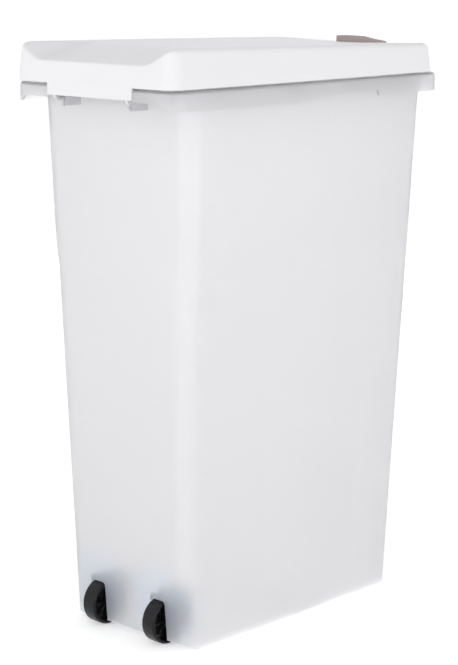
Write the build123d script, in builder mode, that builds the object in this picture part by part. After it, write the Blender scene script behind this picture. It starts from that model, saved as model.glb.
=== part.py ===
from build123d import *
import os
from math import cos, pi, radians, sin, sqrt, tan

os.makedirs("parts", exist_ok=True)

# Frame: Z up, floor at Z 0, +Y is the latch end, -Y is the wheel and hinge end, millimetres.

# Overall sizes: half length and half width of the rim, and its height
rim_half_length = 204.5
rim_half_width = 111.6
rim_top = 553.0
rim_bow = 3.6
rim_rear_corner = 23.0
rim_front_corner = 31.5
rim_plate = 2.5
rim_edge = 3.0

# Tub under the rim, measured at the floor and at one gauge height near the rim
rim_side_overhang = 7.6
rim_rear_overhang = 31.1
rim_front_overhang = 29.0
gauge_half_width = rim_half_width - rim_side_overhang
gauge_rear = -rim_half_length + rim_rear_overhang
gauge_front = rim_half_length - rim_front_overhang
gauge_height = 530.0
side_taper = 19.5
rear_taper = 14.1
front_taper = 22.7
base_half_width = gauge_half_width - side_taper
base_rear = gauge_rear + rear_taper
base_front = gauge_front - front_taper
base_rear_corner = 17.5
base_front_corner = 14.0
corner_growth = 2.0
side_bow = 3.0
tub_wall = 2.5
tub_floor = 3.0
heel_height = 6.0
heel_length = 13.0

# Shallow grip panel on each long side, open towards the rear corner
panel_depth = 2.2
panel_top_gap = 182.0
panel_top = rim_top - panel_top_gap
panel_corner = 45.0
panel_ramp = 15.0
panel_front_gap = 63.8
panel_front_low = base_front - panel_front_gap
panel_front_lean = 0.0255

# Hanging lip of the rim, with its steps and gussets
lip_wall = 2.2
lip_drop = 18.0
lip_bottom = rim_top - lip_drop
lip_rear_drop = 12.0
lip_rear_bottom = rim_top - lip_rear_drop
lip_rear_flat = 90.0
lip_rear_ramp = 16.0
grip_drop = 13.0
grip_bottom = rim_top - grip_drop
grip_rear = -8.0
grip_front = 87.0
grip_ramp = 4.0
gusset_wall = 1.6
gusset_drop = 12.0
gusset_bottom = rim_top - gusset_drop
side_gussets = (-38.0, -29.0, 45.0, 57.0)
front_gussets = (-62.0, -30.0, 30.0, 62.0)

# Lid shell
lid_side_step = 0.8
lid_front_step = 5.6
lid_half_width = rim_half_width - lid_side_step
lid_rear = -rim_half_length
lid_front = rim_half_length - lid_front_step
lid_bow = 3.0
lid_rear_corner = 18.5
lid_front_corner = 33.4
lid_gap = 1.5
lid_bottom = rim_top + lid_gap
lid_wall = 2.2
lid_draft = 6.5
lid_height = 38.5
lid_side_top = lid_bottom + lid_height
lid_fall = 1.28
lid_dish = 3.2
lid_edge = 7.0
low_edge_radius = 3.0
low_edge_rise = 21.2
lid_low_edge = lid_bottom + low_edge_rise
low_edge_y = lid_rear + low_edge_rise * tan(radians(lid_draft))
lid_ramp_rise = 10.8
s_curve_start = 67.0
s_curve_end = 114.0
s_curve_rise = 15.5

# Bead on the rim, plug rib and seal under the lid
bead_wall = 1.5
bead_height = 1.4
bead_clearance = 1.2
plug_wall = 1.8
plug_drop = 6.5
plug_bottom = lid_bottom - plug_drop
plug_clearance = 2.5
seal_width = 4.6
seal_height = 3.0
seal_clearance = 0.3

# Lid hinge: one ear of the tub and one of the lid on each side, with a short pin through both
hinge_inset = 7.0
hinge_drop = 9.4
hinge_y = -rim_half_length + hinge_inset
hinge_z = rim_top - hinge_drop
hinge_pin_radius = 2.0
hinge_pin_end = 1.0
running_clearance = 0.05
ear_wall = 3.2
ear_gap = 0.6
tub_ear_radius = 3.9
tub_ear_near = 44.4
tub_ear_neck = 1.5
lug_gap = 3.1
lug_rear = hinge_y + lug_gap
lug_drop = 20.7
lug_bottom = rim_top - lug_drop
lid_ear_radius = 6.0
lid_ear_near = tub_ear_near + ear_wall + ear_gap
hinge_pin_far = lid_ear_near + ear_wall + hinge_pin_end
skirt_half_width = 58.3
skirt_reach = 0.6
skirt_bottom = hinge_z - skirt_reach
skirt_gap = 0.6

# Latch pad, hook and pin, placed from the lid's front edge and its top there
latch_inset = 8.9
latch_y = lid_front - latch_inset
pad_length = 22.4
hook_gap = 0.9
hook_wall = 2.6
pad_front = lid_front + hook_gap + hook_wall
pad_rear = pad_front - pad_length
pad_rear_half = 20.5
pad_front_half = 34.0
pad_rear_bow = 1.5
pad_shoulder = 5.0
pad_corner = 3.0
pad_edge = 1.2
surface_drop = 12.1
pad_surface = lid_side_top - surface_drop
pad_sink = 1.1
pad_bottom = pad_surface - pad_sink
pad_rear_height = 8.1
pad_middle_height = 3.9
pad_front_height = 1.4
pocket_margin = 1.6
pocket_depth = 5.2
pocket_floor = pad_surface - pocket_depth
latch_drop = 1.9
latch_z = pad_surface - latch_drop
latch_pin_radius = 1.5
latch_ear_radius = 2.6
latch_ear_near = 13.5
latch_ear_wall = 3.0
web_near = 18.0
web_wall = 3.0
latch_clearance = 0.5
hook_half_width = 20.0
hook_reach = 7.5
hook_bottom = rim_top - hook_reach
hook_nose_height = 4.0
hook_nose_clearance = 0.4
notch_margin = 1.5
notch_gap = 0.6
spring_wire = 0.7
spring_radius = 2.3
spring_turns = 4
spring_pitch = 1.5

# Wheels in their notches
wheel_radius = 23.0
wheel_width = 17.0
wheel_side_inset = 41.5
wheel_rear_inset = 7.1
wheel_x = base_half_width - wheel_side_inset
wheel_y = base_rear + wheel_rear_inset
wheel_shoulder = 2.2
wheel_rim = 3.2
wheel_lip = 0.8
wheel_dish = 4.0
hub_radius = 5.5
spoke_count = 8
spoke_width = 1.8
spoke_pocket_depth = 3.5
notch_top_half = 9.5
notch_bottom_half = 12.5
notch_top_gap = 0.2
notch_top = 2 * wheel_radius - notch_top_gap
notch_corner = 4.0
pocket_front_gap = 2.0
pocket_ceiling_gap = 2.0
axle_radius = 2.5
axle_half_length = 15.0
axle_boss_radius = 5.0
axle_boss_cap = 2.0

overshoot = 5.0


def tub_size(z, inset):
    share = z / gauge_height
    half_width = base_half_width + (gauge_half_width - base_half_width) * share - inset
    rear = base_rear + (gauge_rear - base_rear) * share + inset
    front = base_front + (gauge_front - base_front) * share - inset
    corner_change = corner_growth * share - inset
    return half_width, rear, front, base_rear_corner + corner_change, base_front_corner + corner_change


def bowed_side(y, half_width, rear, front):
    share = (2 * y - rear - front) / (front - rear)
    return half_width + side_bow * (1 - share * share)


# Where the grip panel's floor ends, where its ramp ends, and its depth, at one height
def panel_at(z):
    arc_base = panel_top - panel_corner
    arc_y = panel_front_low + panel_front_lean * arc_base - panel_corner
    if z <= arc_base:
        floor_end = panel_front_low + panel_front_lean * z
        return floor_end, floor_end + panel_ramp, panel_depth
    ramp_top = panel_top + panel_ramp
    if z >= ramp_top:
        return arc_y, arc_y + panel_ramp, 0.0
    rise = z - arc_base
    outer = arc_y + max(sqrt((panel_corner + panel_ramp) ** 2 - rise ** 2), panel_ramp)
    if z <= panel_top:
        return arc_y + sqrt(panel_corner ** 2 - rise ** 2), outer, panel_depth
    return arc_y, outer, panel_depth * (ramp_top - z) / panel_ramp


# Heights of the tub's sections: the panel's rounded corner in three steps, its top ramp in two
def panel_levels(bottom, top):
    arc_base = panel_top - panel_corner
    arc = [arc_base + panel_corner * sin(pi / 2 * step / 3) for step in (1, 2, 3)]
    ramp = [panel_top + panel_ramp / 2, panel_top + panel_ramp]
    return [bottom, arc_base] + arc + ramp + [top]


def tub_form(inset, bottom, top):
    with BuildPart() as form:
        for z in panel_levels(bottom, top):
            half_width, rear, front, rear_radius, front_radius = tub_size(z, inset)
            floor_end, ramp_end, depth = panel_at(z)
            floor_middle = (rear + floor_end) / 2
            front_middle = (ramp_end + front) / 2
            rear_corner = (half_width - depth, rear)
            floor_stop = (bowed_side(floor_end, half_width, rear, front) - depth, floor_end)
            floor_mid = (bowed_side(floor_middle, half_width, rear, front) - depth, floor_middle)
            ramp_stop = (bowed_side(ramp_end, half_width, rear, front), ramp_end)
            front_mid = (bowed_side(front_middle, half_width, rear, front), front_middle)
            with BuildSketch(Plane.XY.offset(z)) as section:
                with BuildLine():
                    Line((0, rear), rear_corner)
                    ThreePointArc(rear_corner, floor_mid, floor_stop)
                    Line(floor_stop, ramp_stop)
                    ThreePointArc(ramp_stop, front_mid, (half_width, front))
                    Line((half_width, front), (0, front))
                    mirror(about=Plane.YZ)
                make_face()
                rear_row = section.vertices().group_by(Axis.Y)[0].sort_by(Axis.X)
                fillet([rear_row[0], rear_row[-1]], rear_radius)
                front_row = section.vertices().group_by(Axis.Y)[-1].sort_by(Axis.X)
                fillet([front_row[0], front_row[-1]], front_radius)
        loft(ruled=True)
    return form.part


def bowed_outline(half_width, bow, rear, front, rear_radius, front_radius):
    with BuildSketch() as outline:
        with BuildLine():
            middle = (rear + front) / 2
            Line((-half_width, rear), (half_width, rear))
            ThreePointArc((half_width, rear), (half_width + bow, middle), (half_width, front))
            Line((half_width, front), (-half_width, front))
            ThreePointArc((-half_width, front), (-half_width - bow, middle), (-half_width, rear))
        make_face()
        fillet(outline.vertices().group_by(Axis.Y)[0], rear_radius)
        fillet(outline.vertices().group_by(Axis.Y)[-1], front_radius)
    return outline.sketch


def rim_outline(inset):
    reach = rim_half_length - inset
    half_width = rim_half_width - inset
    return bowed_outline(half_width, rim_bow, -reach, reach, rim_rear_corner - inset, rim_front_corner - inset)


def mouth_outline(inset):
    half_width, rear, front, rear_radius, front_radius = tub_size(rim_top, tub_wall + inset)
    return bowed_outline(half_width, side_bow, rear, front, rear_radius, front_radius)


def lid_outline(inset, z):
    drawn_in = inset + (z - lid_bottom) * tan(radians(lid_draft))
    half_width = lid_half_width - drawn_in
    rear_radius = lid_rear_corner - drawn_in
    front_radius = lid_front_corner - drawn_in
    return bowed_outline(half_width, lid_bow, lid_rear + drawn_in, lid_front - drawn_in, rear_radius, front_radius)


def prism(outline, bottom, top):
    with BuildPart() as block:
        with BuildSketch(Plane.XY.offset(bottom)):
            add(outline)
        extrude(amount=top - bottom)
    return block.part


# Flat plate standing across X, drawn in Y and Z
def upright(points, x_from, x_to):
    with BuildPart() as plate:
        with BuildSketch(Plane.YZ.offset(x_from)):
            with BuildLine():
                Polyline(*points, close=True)
            make_face()
        extrude(amount=x_to - x_from)
    return plate.part


def box_between(low, high):
    size = [high[i] - low[i] for i in range(3)]
    return Pos(*low) * Box(*size, align=(Align.MIN, Align.MIN, Align.MIN), mode=Mode.PRIVATE)


# Wedge that lifts the rear bottom edge so the bin can tip onto its wheels
def heel_tool(thickness):
    lean = heel_height / heel_length
    back = base_rear - overshoot
    front = base_rear + heel_length
    below = -overshoot
    points = [
        (back, below),
        (back, thickness + (front - back) * lean),
        (front + (thickness - below) / lean, below),
    ]
    reach = 2 * base_half_width
    return upright(points, -reach, reach)


# Solid above a dished surface that falls towards the latch end
def dish_tool(front_point, fall, dish, half_span, length):
    plane = Plane(origin=front_point, x_dir=(1, 0, 0), z_dir=(0, -cos(fall), sin(fall)))
    radius = (half_span ** 2 + dish ** 2) / (2 * dish)
    reach = half_span + overshoot
    rise = radius - sqrt(radius ** 2 - reach ** 2)
    height = 2 * half_span
    with BuildPart() as tool:
        with BuildSketch(plane):
            with BuildLine():
                ThreePointArc((-reach, rise), (0, 0), (reach, rise))
                Polyline((reach, rise), (reach, height), (-reach, height), (-reach, rise))
            make_face()
        extrude(amount=length)
    return tool.part


# Solid above the rear ramp, with its S-shaped climb at both corners
def ramp_tool(inset):
    rise = tan(radians(lid_ramp_rise))
    start_y = lid_rear - overshoot
    low = lid_low_edge - inset - (low_edge_y - start_y) * rise
    high = low + s_curve_rise
    outside = lid_half_width + lid_bow + overshoot
    above = high + lid_height
    start = s_curve_start - inset
    end = s_curve_end - inset
    direction = (0, cos(radians(lid_ramp_rise)), sin(radians(lid_ramp_rise)))
    with BuildPart() as tool:
        with BuildSketch(Plane(origin=(0, start_y, 0), x_dir=(1, 0, 0), z_dir=(0, -1, 0))):
            with BuildLine():
                Line((0, low), (start, low))
                Spline((start, low), (end, high), tangents=((1, 0), (1, 0)))
                Polyline((end, high), (outside, high), (outside, above), (0, above))
                mirror(about=Plane.YZ)
            make_face()
        extrude(amount=2 * rim_half_length, dir=direction)
    return tool.part


def lid_form(inset):
    fall = radians(lid_fall)
    front_y = lid_front + overshoot
    front_z = lid_side_top - lid_dish - (front_y - lid_rear) * tan(fall) - inset
    bottom = lid_bottom if inset == 0 else lid_bottom - overshoot
    top = lid_side_top + overshoot
    half_span = lid_half_width + lid_bow
    length = 2 * (rim_half_length + overshoot)
    dish_cut = dish_tool((0, front_y, front_z), fall, lid_dish, half_span, length)
    ramp_cut = ramp_tool(inset)
    with BuildPart() as form:
        for z in (bottom, top):
            with BuildSketch(Plane.XY.offset(z)):
                add(lid_outline(inset, z))
        loft(ruled=True)
        add(dish_cut, mode=Mode.SUBTRACT)
        top_face = form.faces().sort_by(Axis.Z)[-1]
        fillet(top_face.edges(), lid_edge - inset)
        add(ramp_cut, mode=Mode.SUBTRACT)
        low_edge = form.edges().sort_by_distance((0, low_edge_y + inset, lid_low_edge - inset))[0]
        fillet(low_edge, low_edge_radius - inset)
    return form.part


# Round ear about a hinge axis with a web reaching to one side
def ear(axis_y, axis_z, radius, web_y, web_bottom, web_top, x_from, x_to):
    with BuildPart() as plate:
        with BuildSketch(Plane.YZ.offset(x_from)):
            with Locations((axis_y, axis_z)):
                Circle(radius)
            with BuildLine():
                Polyline(
                    (axis_y, web_bottom), (web_y, web_bottom), (web_y, web_top), (axis_y, web_top), close=True
                )
            make_face()
        extrude(amount=x_to - x_from)
    return plate.part


def rod(axis_y, axis_z, radius, x_from, x_to):
    with BuildPart() as bar:
        with BuildSketch(Plane.YZ.offset(x_from)):
            with Locations((axis_y, axis_z)):
                Circle(radius)
        extrude(amount=x_to - x_from)
    return bar.part


# Wheel notch as seen from the rear, grown on all sides by a margin
def notch_prism(x, margin, top, rear, front):
    bottom = 0.0 if margin else -overshoot
    with BuildPart() as block:
        with BuildSketch(Plane(origin=(x, rear, 0), x_dir=(1, 0, 0), z_dir=(0, -1, 0))) as profile:
            with BuildLine():
                Polyline(
                    (-notch_bottom_half - margin, bottom),
                    (-notch_top_half - margin, top + margin),
                    (notch_top_half + margin, top + margin),
                    (notch_bottom_half + margin, bottom),
                    close=True,
                )
            make_face()
            fillet(profile.vertices().group_by(Axis.Y)[-1], notch_corner)
        extrude(amount=rear - front)
    return block.part


# Plan of the latch pad, grown by a margin and drawn out to a front line
def pad_plan(margin, front):
    rear = pad_rear - margin
    rear_half = pad_rear_half + margin
    front_half = pad_front_half + margin
    side_rear = rear + pad_rear_bow
    shoulder = pad_front - pad_shoulder
    with BuildSketch() as plan:
        with BuildLine():
            ThreePointArc((-rear_half, side_rear), (0, rear), (rear_half, side_rear))
            Polyline(
                (rear_half, side_rear),
                (front_half, shoulder),
                (front_half, front),
                (-front_half, front),
                (-front_half, shoulder),
                (-rear_half, side_rear),
            )
        make_face()
        fillet(plan.vertices(), pad_corner + margin)
    return plan.sketch


def save(piece, name):
    piece.part.label = name
    export_step(piece.part, "parts/" + name + ".step")


# Levels and edges shared by the pieces below
plate_bottom = rim_top - rim_plate
pocket_front = wheel_y + wheel_radius + pocket_front_gap
pocket_ceiling = 2 * wheel_radius + pocket_ceiling_gap
rim_rear_edge = -rim_half_length + lid_wall + skirt_gap
hook_rear = lid_front + hook_gap
rim_notch_edge = hook_rear - notch_gap
far_x = 2 * rim_half_width

# Tub with its rim, gussets, wheel pockets and hinge lugs, one moulding
rear_lip_cut = [
    (-lip_rear_flat - lip_rear_ramp, lip_bottom - overshoot),
    (-lip_rear_flat, lip_rear_bottom),
    (lip_rear_flat, lip_rear_bottom),
    (lip_rear_flat + lip_rear_ramp, lip_bottom - overshoot),
]
grip_cut = upright(
    [
        (grip_rear - grip_ramp, lip_bottom - overshoot),
        (grip_rear, grip_bottom),
        (grip_front, grip_bottom),
        (grip_front + grip_ramp, lip_bottom - overshoot),
    ],
    -far_x,
    far_x,
)
hinge_cut = box_between(
    (-skirt_half_width - skirt_gap, -rim_half_length - overshoot, lip_bottom - overshoot),
    (skirt_half_width + skirt_gap, rim_rear_edge, rim_top + overshoot),
)
hook_cut = box_between(
    (-hook_half_width - notch_margin, rim_notch_edge, lip_bottom - overshoot),
    (hook_half_width + notch_margin, rim_half_length + overshoot, rim_top + overshoot),
)
tub_outer = tub_form(0, 0, plate_bottom + rim_plate / 2)
tub_inner = tub_form(tub_wall, tub_floor, rim_top + overshoot) - heel_tool(tub_floor)
heel_cut = heel_tool(0)
bead_inset = lid_wall + bead_clearance
bead_top = rim_top + bead_height
rim_bead = prism(lid_outline(bead_inset, lid_bottom), plate_bottom, bead_top) - prism(
    lid_outline(bead_inset + bead_wall, lid_bottom), plate_bottom, bead_top
)

with BuildPart() as gussets:
    for y in side_gussets:
        add(box_between((-far_x, y - gusset_wall / 2, gusset_bottom), (far_x, y + gusset_wall / 2, plate_bottom)))
    for x in front_gussets:
        add(box_between((x - gusset_wall / 2, 0, gusset_bottom), (x + gusset_wall / 2, far_x, plate_bottom)))
    for side_x in (-1, 1):
        for side_y, corner in ((-1, rim_rear_corner), (1, rim_front_corner)):
            corner_y = side_y * (rim_half_length - corner)
            corner_x = side_x * (rim_half_width - corner)
            with Locations(Location((corner_x, corner_y, gusset_bottom), (0, 0, 45 * side_x * side_y))):
                Box(
                    2 * corner,
                    gusset_wall,
                    plate_bottom - gusset_bottom,
                    align=(Align.CENTER, Align.CENTER, Align.MIN),
                )
    add(prism(rim_outline(lip_wall / 2), gusset_bottom, plate_bottom), mode=Mode.INTERSECT)

with BuildPart() as bin_body:
    add(prism(rim_outline(0), lip_bottom, rim_top))
    fillet(bin_body.edges().group_by(Axis.Z)[-1], rim_edge)
    add(rim_bead)
    add(prism(rim_outline(lip_wall), lip_bottom, plate_bottom), mode=Mode.SUBTRACT)
    with BuildSketch(Plane(origin=(0, -rim_half_length - overshoot, 0), x_dir=(1, 0, 0), z_dir=(0, -1, 0))):
        with BuildLine():
            Polyline(*rear_lip_cut, close=True)
        make_face()
    extrude(amount=-rim_rear_corner - overshoot, mode=Mode.SUBTRACT)
    add(grip_cut, mode=Mode.SUBTRACT)
    add(gussets.part)
    add(hinge_cut, mode=Mode.SUBTRACT)
    add(hook_cut, mode=Mode.SUBTRACT)
    for side in (-1, 1):
        x = min(side * tub_ear_near, side * (tub_ear_near + ear_wall))
        neck_bottom = hinge_z - tub_ear_neck
        add(ear(hinge_y, hinge_z, tub_ear_radius, gauge_rear, neck_bottom, plate_bottom, x, x + ear_wall))
        add(box_between((x, lug_rear, lug_bottom), (x + ear_wall, gauge_rear + tub_wall / 2, plate_bottom)))
    add(tub_outer)
    add(tub_inner, mode=Mode.SUBTRACT)
    for side in (-1, 1):
        x = side * wheel_x
        add(notch_prism(x, tub_wall, pocket_ceiling, base_rear + tub_wall / 2, pocket_front + tub_wall))
        boss_reach = axle_half_length + axle_boss_cap
        add(rod(wheel_y, wheel_radius, axle_boss_radius, x - boss_reach, x + boss_reach))
        add(notch_prism(x, 0, notch_top, gauge_rear - overshoot, pocket_front), mode=Mode.SUBTRACT)
        add(notch_prism(x, 0, pocket_ceiling, base_rear + tub_wall, pocket_front), mode=Mode.SUBTRACT)
        add(rod(wheel_y, wheel_radius, axle_radius, x - axle_half_length, x + axle_half_length), mode=Mode.SUBTRACT)
        x = min(side * tub_ear_near, side * hinge_pin_far)
        pin_length = hinge_pin_far - tub_ear_near
        add(rod(hinge_y, hinge_z, hinge_pin_radius, x - overshoot, x + pin_length + overshoot), mode=Mode.SUBTRACT)
    add(heel_cut, mode=Mode.SUBTRACT)
save(bin_body, "bin_body")

# Lid with its skirt, hinge ears, plug rib, latch pocket and latch ears
pocket_top = lid_side_top + overshoot
pocket = prism(pad_plan(pocket_margin, far_x), pocket_floor, pocket_top)
pocket_shell = prism(pad_plan(pocket_margin + lid_wall, far_x), pocket_floor - lid_wall, pocket_top)
lid_outer = lid_form(0)
lid_inner = lid_form(lid_wall) - pocket_shell
plug = prism(mouth_outline(plug_clearance), plug_bottom, pocket_top) - prism(
    mouth_outline(plug_clearance + plug_wall), plug_bottom - overshoot, pocket_top + overshoot
)
plug_rib = plug & (lid_inner + lid_outer)
plug_rib = plug_rib + (plug & prism(mouth_outline(plug_clearance), plug_bottom, lid_bottom))

with BuildPart() as lid:
    add(lid_outer)
    add(lid_inner, mode=Mode.SUBTRACT)
    add(plug_rib)
    add(pocket, mode=Mode.SUBTRACT)
    add(
        box_between(
            (-skirt_half_width, lid_rear, skirt_bottom),
            (skirt_half_width, lid_rear + lid_wall, lid_bottom + overshoot / 2),
        )
    )
    for side in (-1, 1):
        ear_x = min(side * lid_ear_near, side * (lid_ear_near + ear_wall))
        add(
            ear(
                hinge_y,
                hinge_z,
                lid_ear_radius,
                lid_rear + lid_wall / 2,
                skirt_bottom,
                hinge_z + lid_ear_radius,
                ear_x,
                ear_x + ear_wall,
            )
        )
        latch_x = min(side * latch_ear_near, side * (latch_ear_near + latch_ear_wall))
        add(
            ear(
                latch_y,
                latch_z,
                latch_ear_radius,
                latch_y - latch_ear_radius,
                pocket_floor - lid_wall / 2,
                latch_z,
                latch_x,
                latch_x + latch_ear_wall,
            )
        )
    hinge_bore = hinge_pin_radius + running_clearance
    add(rod(hinge_y, hinge_z, hinge_bore, -skirt_half_width, skirt_half_width), mode=Mode.SUBTRACT)
    latch_bore = latch_pin_radius + running_clearance
    add(rod(latch_y, latch_z, latch_bore, -web_near, web_near), mode=Mode.SUBTRACT)
save(lid, "lid")

# Soft seal round the plug rib, just above the rim
seal_bottom = rim_top + seal_clearance
with BuildPart() as lid_seal:
    add(prism(mouth_outline(plug_clearance - seal_width), seal_bottom, seal_bottom + seal_height))
    add(prism(mouth_outline(plug_clearance), seal_bottom, seal_bottom + seal_height), mode=Mode.SUBTRACT)
save(lid_seal, "lid_seal")

# Hinge pins, pressed into the tub's ears
for side, name in ((-1, "hinge_pin_left"), (1, "hinge_pin_right")):
    with BuildPart() as hinge_pin:
        with BuildSketch(Plane.YZ.offset(min(side * tub_ear_near, side * hinge_pin_far))):
            with Locations((hinge_y, hinge_z)):
                Circle(hinge_pin_radius)
        extrude(amount=hinge_pin_far - tub_ear_near)
    save(hinge_pin, name)

# Latch lever: pad, webs round the pin, and the hook arm with its nose
cavity_half = latch_ear_near + latch_ear_wall + latch_clearance
cavity_reach = latch_ear_radius + latch_clearance
pad_blank_top = pad_surface + pad_rear_height + overshoot
rear_top = (pad_rear, pad_surface + pad_rear_height)
middle_top = ((pad_rear + pad_front) / 2, pad_surface + pad_middle_height)
front_top = (pad_front, pad_surface + pad_front_height)

with BuildPart() as latch_lever:
    with BuildSketch(Plane.XY.offset(pad_bottom)):
        add(pad_plan(0, pad_front))
    extrude(amount=pad_blank_top - pad_bottom)
    with BuildSketch(Plane.YZ.offset(-far_x)):
        with BuildLine():
            ThreePointArc(rear_top, middle_top, front_top)
            Polyline(
                front_top,
                (pad_front + overshoot, front_top[1]),
                (pad_front + overshoot, pad_blank_top + overshoot),
                (pad_rear - overshoot, pad_blank_top + overshoot),
                (pad_rear - overshoot, rear_top[1]),
                rear_top,
            )
        make_face()
    extrude(amount=2 * far_x, mode=Mode.SUBTRACT)
    top_face = latch_lever.faces().sort_by(Axis.Z)[-1]
    fillet(top_face.edges(), pad_edge)
    add(
        box_between(
            (-cavity_half, latch_y - cavity_reach, pad_bottom - overshoot),
            (cavity_half, latch_y + cavity_reach, latch_z + cavity_reach),
        ),
        mode=Mode.SUBTRACT,
    )
    for side in (-1, 1):
        web_x = min(side * web_near, side * (web_near + web_wall))
        add(
            ear(
                latch_y,
                latch_z,
                latch_ear_radius,
                latch_y - latch_ear_radius,
                latch_z,
                pad_bottom + pad_edge,
                web_x,
                web_x + web_wall,
            )
        )
        add(
            ear(
                latch_y,
                latch_z,
                latch_ear_radius,
                latch_y + latch_ear_radius,
                latch_z,
                pad_bottom + pad_edge,
                web_x,
                web_x + web_wall,
            )
        )
    add(
        box_between(
            (-hook_half_width, hook_rear, hook_bottom), (hook_half_width, hook_rear + hook_wall, pad_bottom + pad_edge)
        )
    )
    add(
        box_between(
            (-hook_half_width, rim_notch_edge + hook_nose_clearance, hook_bottom),
            (hook_half_width, hook_rear + hook_wall, hook_bottom + hook_nose_height),
        )
    )
    pin_reach = web_near + web_wall + overshoot
    add(rod(latch_y, latch_z, latch_pin_radius, -pin_reach, pin_reach), mode=Mode.SUBTRACT)
save(latch_lever, "latch_lever")

with BuildPart() as latch_pin:
    with BuildSketch(Plane.YZ.offset(-web_near - web_wall)):
        with Locations((latch_y, latch_z)):
            Circle(latch_pin_radius)
    extrude(amount=2 * (web_near + web_wall))
save(latch_pin, "latch_pin")


# Torsion spring coiled round the latch pin, one arc for each quarter turn
def coil_point(turns):
    angle = 2 * pi * turns
    x = spring_pitch * (turns - spring_turns / 2)
    return x, latch_y + spring_radius * cos(angle), latch_z + spring_radius * sin(angle)


with BuildPart() as latch_spring:
    with BuildLine() as coil:
        for quarter in range(4 * spring_turns):
            turns = quarter / 4
            ThreePointArc(coil_point(turns), coil_point(turns + 1 / 8), coil_point(turns + 1 / 4))
    with BuildSketch(Plane(origin=coil.line @ 0, z_dir=coil.line % 0)):
        Circle(spring_wire / 2)
    sweep(path=coil.line)
save(latch_spring, "latch_spring")

# Wheels and their stub axles
spoke_outer = wheel_radius - wheel_rim
for side, name in ((-1, "left"), (1, "right")):
    with BuildPart() as wheel:
        with BuildSketch(Plane.YZ.offset(side * wheel_x - wheel_width / 2)):
            with Locations((wheel_y, wheel_radius)):
                Circle(wheel_radius)
        extrude(amount=wheel_width)
        fillet(wheel.edges(), wheel_shoulder)
        for face in (-1, 1):
            face_x = side * wheel_x + face * wheel_width / 2
            with BuildSketch(Plane.YZ.offset(face_x)):
                with Locations((wheel_y, wheel_radius)):
                    Circle(spoke_outer)
                    Circle(hub_radius, mode=Mode.SUBTRACT)
            extrude(amount=-face * wheel_dish, mode=Mode.SUBTRACT)
            with BuildSketch(Plane.YZ.offset(face_x)):
                with Locations((wheel_y, wheel_radius)):
                    Circle(spoke_outer)
                    Circle(hub_radius, mode=Mode.SUBTRACT)
                    with PolarLocations(0, spoke_count):
                        Rectangle(
                            spoke_outer + wheel_rim / 2,
                            spoke_width,
                            align=(Align.MIN, Align.CENTER),
                            mode=Mode.SUBTRACT,
                        )
            extrude(amount=-face * (wheel_dish + spoke_pocket_depth), mode=Mode.SUBTRACT)
            end_circles = wheel.edges().group_by(Axis.X)[-1 if face > 0 else 0].sort_by(SortBy.RADIUS)
            fillet(end_circles[-2], wheel_lip)
        with BuildSketch(Plane.YZ.offset(side * wheel_x - wheel_width / 2)):
            with Locations((wheel_y, wheel_radius)):
                Circle(axle_radius + running_clearance)
        extrude(amount=wheel_width, mode=Mode.SUBTRACT)
    save(wheel, "wheel_" + name)

    with BuildPart() as axle:
        with BuildSketch(Plane.YZ.offset(side * wheel_x - axle_half_length)):
            with Locations((wheel_y, wheel_radius)):
                Circle(axle_radius)
        extrude(amount=2 * axle_half_length)
    save(axle, "axle_" + name)
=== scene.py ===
import math

import bpy
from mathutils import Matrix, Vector

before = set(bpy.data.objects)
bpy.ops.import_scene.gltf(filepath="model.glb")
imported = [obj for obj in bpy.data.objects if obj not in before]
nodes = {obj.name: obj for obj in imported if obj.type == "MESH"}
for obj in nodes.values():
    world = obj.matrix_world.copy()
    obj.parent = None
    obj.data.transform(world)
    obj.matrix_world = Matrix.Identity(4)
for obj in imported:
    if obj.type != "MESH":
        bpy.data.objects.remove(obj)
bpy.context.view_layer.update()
scene = bpy.context.scene
print("frame loaded:", len(nodes), "nodes")


# Camera: the photographer's place, worked out from the bin's own edges
camera = {
    "place": (1.3534, -1.4541, 0.685),      # metres, in the part's frame
    "looking": (-0.67076, 0.71523, -0.19626),
    "lens": 105.1,                          # mm, on a sensor 36 mm tall
    "sensor": 36.0,
    "clip": (0.05, 50.0),
}


def makeCamera():
    data = bpy.data.cameras.new("camera")
    data.lens = camera["lens"]
    data.sensor_width = camera["sensor"]
    data.sensor_fit = "AUTO"
    data.clip_start, data.clip_end = camera["clip"]
    eye = bpy.data.objects.new("camera", data)
    eye.location = camera["place"]
    eye.rotation_euler = Vector(camera["looking"]).to_track_quat("-Z", "Y").to_euler()
    scene.collection.objects.link(eye)
    scene.camera = eye


makeCamera()
scene.view_settings.view_transform = "Standard"
print("camera placed")


# Small helpers for node trees
def newMaterial(name):
    mat = bpy.data.materials.new(name)
    mat.use_nodes = True
    tree = mat.node_tree
    bsdf = tree.nodes["Principled BSDF"]
    return mat, tree, bsdf


def addNode(tree, kind, **values):
    node = tree.nodes.new(kind)
    for key, value in values.items():
        if hasattr(node, key):
            setattr(node, key, value)
        else:
            node.inputs[key].default_value = value
    return node


def groupNode(tree, group, **values):
    node = tree.nodes.new("ShaderNodeGroup")
    node.node_tree = group
    for key, value in values.items():
        node.inputs[key.replace("_", " ")].default_value = value
    return node


def newGroup(name, inputs, outputs):
    group = bpy.data.node_groups.new(name, "ShaderNodeTree")
    for label, kind, value in inputs:
        socket = group.interface.new_socket(label, in_out="INPUT", socket_type=kind)
        socket.default_value = value
    for label, kind in outputs:
        group.interface.new_socket(label, in_out="OUTPUT", socket_type=kind)
    return group, group.nodes.new("NodeGroupInput"), group.nodes.new("NodeGroupOutput")


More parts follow.
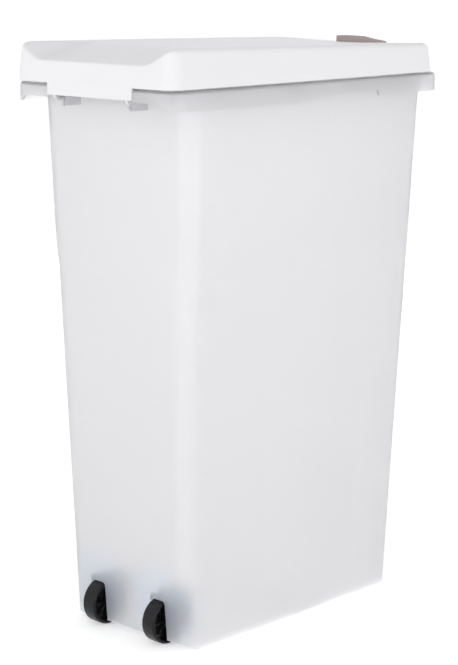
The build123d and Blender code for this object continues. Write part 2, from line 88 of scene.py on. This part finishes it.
# Moulded skin: a fine spark-eroded grain over a slow sink and flow waviness
def makeMouldedSkin():
    group, given, out = newGroup(
        "moulded skin",
        [("Grain Size", "NodeSocketFloat", 900.0), ("Wave Size", "NodeSocketFloat", 14.0),
         ("Wave Share", "NodeSocketFloat", 0.5)],
        [("Height", "NodeSocketFloat"), ("Mottle", "NodeSocketFloat")],
    )
    place = addNode(group, "ShaderNodeTexCoord")
    grain = addNode(group, "ShaderNodeTexNoise", Detail=2.0, Roughness=0.6)
    wave = addNode(group, "ShaderNodeTexNoise", Detail=1.0, Roughness=0.4)
    mix = addNode(group, "ShaderNodeMix", data_type="FLOAT")
    links = group.links
    links.new(place.outputs["Object"], grain.inputs["Vector"])
    links.new(place.outputs["Object"], wave.inputs["Vector"])
    links.new(given.outputs["Grain Size"], grain.inputs["Scale"])
    links.new(given.outputs["Wave Size"], wave.inputs["Scale"])
    links.new(given.outputs["Wave Share"], mix.inputs[0])
    links.new(grain.outputs["Fac"], mix.inputs[2])
    links.new(wave.outputs["Fac"], mix.inputs[3])
    links.new(mix.outputs[0], out.inputs["Height"])
    links.new(wave.outputs["Fac"], out.inputs["Mottle"])
    return group


# Handling: long faint scuffs and a few rubbed patches that roughen the gloss
def makeHandling():
    group, given, out = newGroup(
        "handling",
        [("Scuff Size", "NodeSocketFloat", 60.0), ("Base", "NodeSocketFloat", 0.4),
         ("Spread", "NodeSocketFloat", 0.1)],
        [("Roughness", "NodeSocketFloat")],
    )
    place = addNode(group, "ShaderNodeTexCoord")
    stretch = addNode(group, "ShaderNodeMapping", Scale=(1.0, 0.25, 3.0), Rotation=(0.3, 0.0, 0.5))
    scuff = addNode(group, "ShaderNodeTexNoise", Detail=6.0, Roughness=0.7)
    centred = addNode(group, "ShaderNodeMath", operation="SUBTRACT")
    centred.inputs[1].default_value = 0.5
    spread = addNode(group, "ShaderNodeMath", operation="MULTIPLY")
    total = addNode(group, "ShaderNodeMath", operation="ADD", use_clamp=True)
    links = group.links
    links.new(place.outputs["Object"], stretch.inputs["Vector"])
    links.new(stretch.outputs["Vector"], scuff.inputs["Vector"])
    links.new(given.outputs["Scuff Size"], scuff.inputs["Scale"])
    links.new(scuff.outputs["Fac"], centred.inputs[0])
    links.new(centred.outputs[0], spread.inputs[0])
    links.new(given.outputs["Spread"], spread.inputs[1])
    links.new(spread.outputs[0], total.inputs[0])
    links.new(given.outputs["Base"], total.inputs[1])
    links.new(total.outputs[0], out.inputs["Roughness"])
    return group


# Tint: two close tones of one plastic, drifting over the piece
def makeTint():
    group, given, out = newGroup(
        "tint drift",
        [("Light", "NodeSocketColor", (1.0, 1.0, 1.0, 1.0)),
         ("Deep", "NodeSocketColor", (0.8, 0.8, 0.8, 1.0)),
         ("Drift Size", "NodeSocketFloat", 5.0)],
        [("Color", "NodeSocketColor")],
    )
    place = addNode(group, "ShaderNodeTexCoord")
    drift = addNode(group, "ShaderNodeTexNoise", Detail=2.0, Roughness=0.5)
    mix = addNode(group, "ShaderNodeMix", data_type="RGBA")
    links = group.links
    links.new(place.outputs["Object"], drift.inputs["Vector"])
    links.new(given.outputs["Drift Size"], drift.inputs["Scale"])
    links.new(drift.outputs["Fac"], mix.inputs[0])
    links.new(given.outputs["Light"], mix.inputs[6])
    links.new(given.outputs["Deep"], mix.inputs[7])
    links.new(mix.outputs[2], out.inputs["Color"])
    return group


# Pocket shade: a painted shade, a cooler and darker tone multiplied into the colour where the wheel
# pockets lie behind the wall, the same on both sides
def makePocketPaintedShade():
    group, given, out = newGroup(
        "pocket painted shade",
        [("Color", "NodeSocketColor", (1.0, 1.0, 1.0, 1.0)),
         ("Cool", "NodeSocketColor", (0.8, 0.9, 1.0, 1.0)),
         ("Centre", "NodeSocketVector", (0.04, -0.15, 0.02)), ("Near", "NodeSocketFloat", 0.02),
         ("Far", "NodeSocketFloat", 0.05)],
        [("Color", "NodeSocketColor")],
    )
    place = addNode(group, "ShaderNodeTexCoord")
    parts = addNode(group, "ShaderNodeSeparateXYZ")
    across = addNode(group, "ShaderNodeMath", operation="ABSOLUTE")
    folded = addNode(group, "ShaderNodeCombineXYZ")
    reach = addNode(group, "ShaderNodeVectorMath", operation="DISTANCE")
    fade = addNode(group, "ShaderNodeMapRange", interpolation_type="SMOOTHSTEP")
    fade.inputs["To Min"].default_value = 1.0
    fade.inputs["To Max"].default_value = 0.0
    mix = addNode(group, "ShaderNodeMix", data_type="RGBA", blend_type="MULTIPLY")
    links = group.links
    links.new(place.outputs["Object"], parts.inputs[0])
    links.new(parts.outputs["X"], across.inputs[0])
    links.new(across.outputs[0], folded.inputs["X"])
    links.new(parts.outputs["Y"], folded.inputs["Y"])
    links.new(parts.outputs["Z"], folded.inputs["Z"])
    links.new(folded.outputs[0], reach.inputs[0])
    links.new(given.outputs["Centre"], reach.inputs[1])
    links.new(reach.outputs["Value"], fade.inputs["Value"])
    links.new(given.outputs["Near"], fade.inputs["From Min"])
    links.new(given.outputs["Far"], fade.inputs["From Max"])
    links.new(fade.outputs["Result"], mix.inputs[0])
    links.new(given.outputs["Color"], mix.inputs[6])
    links.new(given.outputs["Cool"], mix.inputs[7])
    links.new(mix.outputs[2], out.inputs["Color"])
    return group


mouldedSkin = makeMouldedSkin()
handling = makeHandling()
tintDrift = makeTint()
pocketPaintedShade = makePocketPaintedShade()
print("shared effects built")


# One moulded plastic, from its own values
def makePlastic(name, finish):
    mat, tree, bsdf = newMaterial(name)
    tint = groupNode(tree, tintDrift, Light=finish["light"], Deep=finish["deep"],
                     Drift_Size=finish["driftSize"])
    rough = groupNode(tree, handling, Scuff_Size=finish["scuffSize"], Base=finish["roughness"],
                      Spread=finish["spread"])
    skin = groupNode(tree, mouldedSkin, Grain_Size=finish["grainSize"], Wave_Size=finish["waveSize"],
                     Wave_Share=finish["waveShare"])
    bump = addNode(tree, "ShaderNodeBump", Strength=finish["bump"], Distance=finish["bumpDepth"])
    tree.links.new(tint.outputs["Color"], bsdf.inputs["Base Color"])
    tree.links.new(rough.outputs["Roughness"], bsdf.inputs["Roughness"])
    tree.links.new(skin.outputs["Height"], bump.inputs["Height"])
    tree.links.new(bump.outputs["Normal"], bsdf.inputs["Normal"])
    for socket, value in finish["sockets"].items():
        bsdf.inputs[socket].default_value = value
    return mat


def dress(material, *names):
    for name in names:
        nodes[name].data.materials.clear()
        nodes[name].data.materials.append(material)


tubFinish = {
    "light": (0.986, 0.983, 0.996, 1.0),
    "deep": (0.978, 0.975, 0.992, 1.0),
    "driftSize": 4.0,
    "scuffSize": 50.0,
    "roughness": 0.42,
    "spread": 0.08,
    "grainSize": 1400.0,
    "waveSize": 9.0,
    "waveShare": 0.6,
    "bump": 0.1,
    "bumpDepth": 0.0006,
    "sockets": {"IOR": 1.49, "Transmission Weight": 0.84},
}
lidFinish = {
    "light": (0.82, 0.817, 0.834, 1.0),
    "deep": (0.805, 0.803, 0.821, 1.0),
    "driftSize": 6.0,
    "scuffSize": 70.0,
    "roughness": 0.5,
    "spread": 0.08,
    "grainSize": 1600.0,
    "waveSize": 10.0,
    "waveShare": 0.5,
    "bump": 0.08,
    "bumpDepth": 0.0005,
    "sockets": {"IOR": 1.49, "Specular IOR Level": 0.12},
}
latchFinish = {
    "light": (0.392, 0.312, 0.302, 1.0),
    "deep": (0.36, 0.284, 0.276, 1.0),
    "driftSize": 30.0,
    "scuffSize": 200.0,
    "roughness": 0.42,
    "spread": 0.1,
    "grainSize": 2400.0,
    "waveSize": 40.0,
    "waveShare": 0.3,
    "bump": 0.15,
    "bumpDepth": 0.0003,
    "sockets": {"IOR": 1.5},
}
wheelFinish = {
    "light": (0.008, 0.008, 0.0092, 1.0),
    "deep": (0.005, 0.005, 0.006, 1.0),
    "driftSize": 60.0,
    "scuffSize": 300.0,
    "roughness": 0.3,
    "spread": 0.25,
    "grainSize": 3000.0,
    "waveSize": 90.0,
    "waveShare": 0.4,
    "bump": 0.2,
    "bumpDepth": 0.0003,
    "sockets": {"IOR": 1.5, "Specular IOR Level": 0.25},
}
sealFinish = {
    "light": (0.62, 0.62, 0.62, 1.0),
    "deep": (0.54, 0.54, 0.545, 1.0),
    "driftSize": 30.0,
    "scuffSize": 150.0,
    "roughness": 0.7,
    "spread": 0.15,
    "grainSize": 2500.0,
    "waveSize": 60.0,
    "waveShare": 0.4,
    "bump": 0.25,
    "bumpDepth": 0.0003,
    "sockets": {"IOR": 1.45},
}
steelFinish = {
    "light": (0.6, 0.6, 0.6, 1.0),
    "deep": (0.5, 0.5, 0.51, 1.0),
    "driftSize": 80.0,
    "scuffSize": 400.0,
    "roughness": 0.3,
    "spread": 0.2,
    "grainSize": 4000.0,
    "waveSize": 120.0,
    "waveShare": 0.2,
    "bump": 0.15,
    "bumpDepth": 0.0001,
    "sockets": {"Metallic": 1.0},
}

# Painted shade: the milky wall of the tub is painted cooler and darker over the dark wheels behind
# it, in place of their shade seen through the wall
pocketShadeFinish = {
    "paintedShadeColor": (0.9, 0.95, 1.0, 1.0),
    "centre": (0.043, -0.152, 0.04),        # metres, of the right pocket
    "near": 0.018,
    "far": 0.052,
}


def makeTub():
    mat = makePlastic("milky tub plastic", tubFinish)
    tree = mat.node_tree
    bsdf = tree.nodes["Principled BSDF"]
    plain = bsdf.inputs["Base Color"].links[0].from_socket
    # the tub's base colour gets the painted pocket shade around each wheel pocket
    pocketShaded = groupNode(tree, pocketPaintedShade, Cool=pocketShadeFinish["paintedShadeColor"], Centre=pocketShadeFinish["centre"],
                       Near=pocketShadeFinish["near"], Far=pocketShadeFinish["far"])
    tree.links.new(plain, pocketShaded.inputs["Color"])
    tree.links.new(pocketShaded.outputs["Color"], bsdf.inputs["Base Color"])
    return mat


dress(makeTub(), "bin_body")
dress(makePlastic("white lid plastic", lidFinish), "lid")
dress(makePlastic("taupe latch plastic", latchFinish), "latch_lever")
dress(makePlastic("black wheel plastic", wheelFinish), "wheel_left", "wheel_right")
dress(makePlastic("soft seal", sealFinish), "lid_seal")
dress(makePlastic("drawn steel", steelFinish), "latch_pin", "latch_spring",
      "hinge_pin_left", "hinge_pin_right", "axle_left", "axle_right")
print("finishes on every node")


# The flats meet in soft moulded edges, so shading runs over all but the sharp ones
smoothing = {"weld": 0.000005, "sharpFrom": math.radians(32)}


def makeSmoothing():
    group = bpy.data.node_groups.new("soft edges", "GeometryNodeTree")
    group.interface.new_socket("Geometry", in_out="INPUT", socket_type="NodeSocketGeometry")
    group.interface.new_socket("Geometry", in_out="OUTPUT", socket_type="NodeSocketGeometry")
    given = group.nodes.new("NodeGroupInput")
    out = group.nodes.new("NodeGroupOutput")
    weld = group.nodes.new("GeometryNodeMergeByDistance")
    weld.inputs["Distance"].default_value = smoothing["weld"]
    angle = group.nodes.new("GeometryNodeInputMeshEdgeAngle")
    flat = group.nodes.new("FunctionNodeCompare")
    flat.operation = "LESS_EQUAL"
    flat.inputs[1].default_value = smoothing["sharpFrom"]
    faces = group.nodes.new("GeometryNodeSetShadeSmooth")
    edges = group.nodes.new("GeometryNodeSetShadeSmooth")
    edges.domain = "EDGE"
    links = group.links
    links.new(given.outputs[0], weld.inputs["Geometry"])
    links.new(weld.outputs["Geometry"], faces.inputs["Geometry"])
    links.new(faces.outputs["Geometry"], edges.inputs["Geometry"])
    links.new(angle.outputs["Unsigned Angle"], flat.inputs[0])
    links.new(flat.outputs[0], edges.inputs["Shade Smooth"])
    links.new(edges.outputs["Geometry"], out.inputs[0])
    return group


softEdges = makeSmoothing()
for piece in nodes.values():
    piece.modifiers.new("soft edges", "NODES").node_group = softEdges
print("edges softened")


# Studio: pale floor, white surroundings for the camera, and broad soft lamps
studio = {
    "floorHalf": 40.0,
    "floorColor": (0.9, 0.9, 0.9, 1.0),
    "floorGlow": 0.38,       # lifts the floor to white for the rays that look at it
    "skyLow": 1.5,           # light from the sides
    "skyHigh": 0.35,         # light from above
    "skyTint": (1.0, 1.0, 1.0, 1.0),
    "lamps": (
        {"name": "key", "place": (2.0, -0.7, 0.75), "size": 1.2, "watts": 7.4},
        {"name": "rear", "place": (-0.4, -2.3, 0.75), "size": 1.2, "watts": 8.6},
        {"name": "fill", "place": (-1.9, 1.5, 0.9), "size": 1.4, "watts": 4.4},
    ),
    "aim": (0.0, 0.0, 0.3),
}


# 1 for rays that look at the surroundings: straight, mirrored or through the plastic
def seenRays(tree):
    path = addNode(tree, "ShaderNodeLightPath")
    total = path.outputs["Is Camera Ray"]
    for kind in ("Is Glossy Ray", "Is Transmission Ray"):
        either = addNode(tree, "ShaderNodeMath", operation="MAXIMUM")
        tree.links.new(total, either.inputs[0])
        tree.links.new(path.outputs[kind], either.inputs[1])
        total = either.outputs[0]
    return total


def makeFloor():
    half = studio["floorHalf"]
    mesh = bpy.data.meshes.new("floor")
    corners = [(-half, -half, 0), (half, -half, 0), (half, half, 0), (-half, half, 0)]
    mesh.from_pydata(corners, [], [(0, 1, 2, 3)])
    floor = bpy.data.objects.new("floor", mesh)
    scene.collection.objects.link(floor)
    mat, tree, bsdf = newMaterial("pale floor")
    bsdf.inputs["Base Color"].default_value = studio["floorColor"]
    bsdf.inputs["Roughness"].default_value = 1.0
    bsdf.inputs["Specular IOR Level"].default_value = 0.0
    bsdf.inputs["Emission Color"].default_value = (1.0, 1.0, 1.0, 1.0)
    glow = addNode(tree, "ShaderNodeMath", operation="MULTIPLY")
    glow.inputs[1].default_value = studio["floorGlow"]
    tree.links.new(seenRays(tree), glow.inputs[0])
    tree.links.new(glow.outputs[0], bsdf.inputs["Emission Strength"])
    mesh.materials.append(mat)


def makeSky():
    world = bpy.data.worlds.new("studio")
    scene.world = world
    world.use_nodes = True
    tree = world.node_tree
    tree.nodes.clear()
    out = addNode(tree, "ShaderNodeOutputWorld")
    place = addNode(tree, "ShaderNodeTexCoord")
    split = addNode(tree, "ShaderNodeSeparateXYZ")
    level = addNode(tree, "ShaderNodeMapRange")
    level.inputs["From Min"].default_value = 0.0
    level.inputs["From Max"].default_value = 1.0
    level.inputs["To Min"].default_value = studio["skyLow"]
    level.inputs["To Max"].default_value = studio["skyHigh"]
    soft = addNode(tree, "ShaderNodeBackground", Color=studio["skyTint"])
    white = addNode(tree, "ShaderNodeBackground", Color=(1.0, 1.0, 1.0, 1.0), Strength=1.0)
    mix = addNode(tree, "ShaderNodeMixShader")
    links = tree.links
    links.new(place.outputs["Generated"], split.inputs[0])
    links.new(split.outputs["Z"], level.inputs["Value"])
    links.new(level.outputs["Result"], soft.inputs["Strength"])
    links.new(seenRays(tree), mix.inputs[0])
    links.new(soft.outputs[0], mix.inputs[1])
    links.new(white.outputs[0], mix.inputs[2])
    links.new(mix.outputs[0], out.inputs["Surface"])


def makeLamps():
    aim = Vector(studio["aim"])
    for lamp in studio["lamps"]:
        data = bpy.data.lights.new(lamp["name"], "AREA")
        data.shape = "SQUARE"
        data.size = lamp["size"]
        data.energy = lamp["watts"]
        light = bpy.data.objects.new(lamp["name"], data)
        light.location = lamp["place"]
        light.rotation_euler = (aim - light.location).to_track_quat("-Z", "Y").to_euler()
        scene.collection.objects.link(light)


makeFloor()
makeSky()
makeLamps()
print("studio lit")
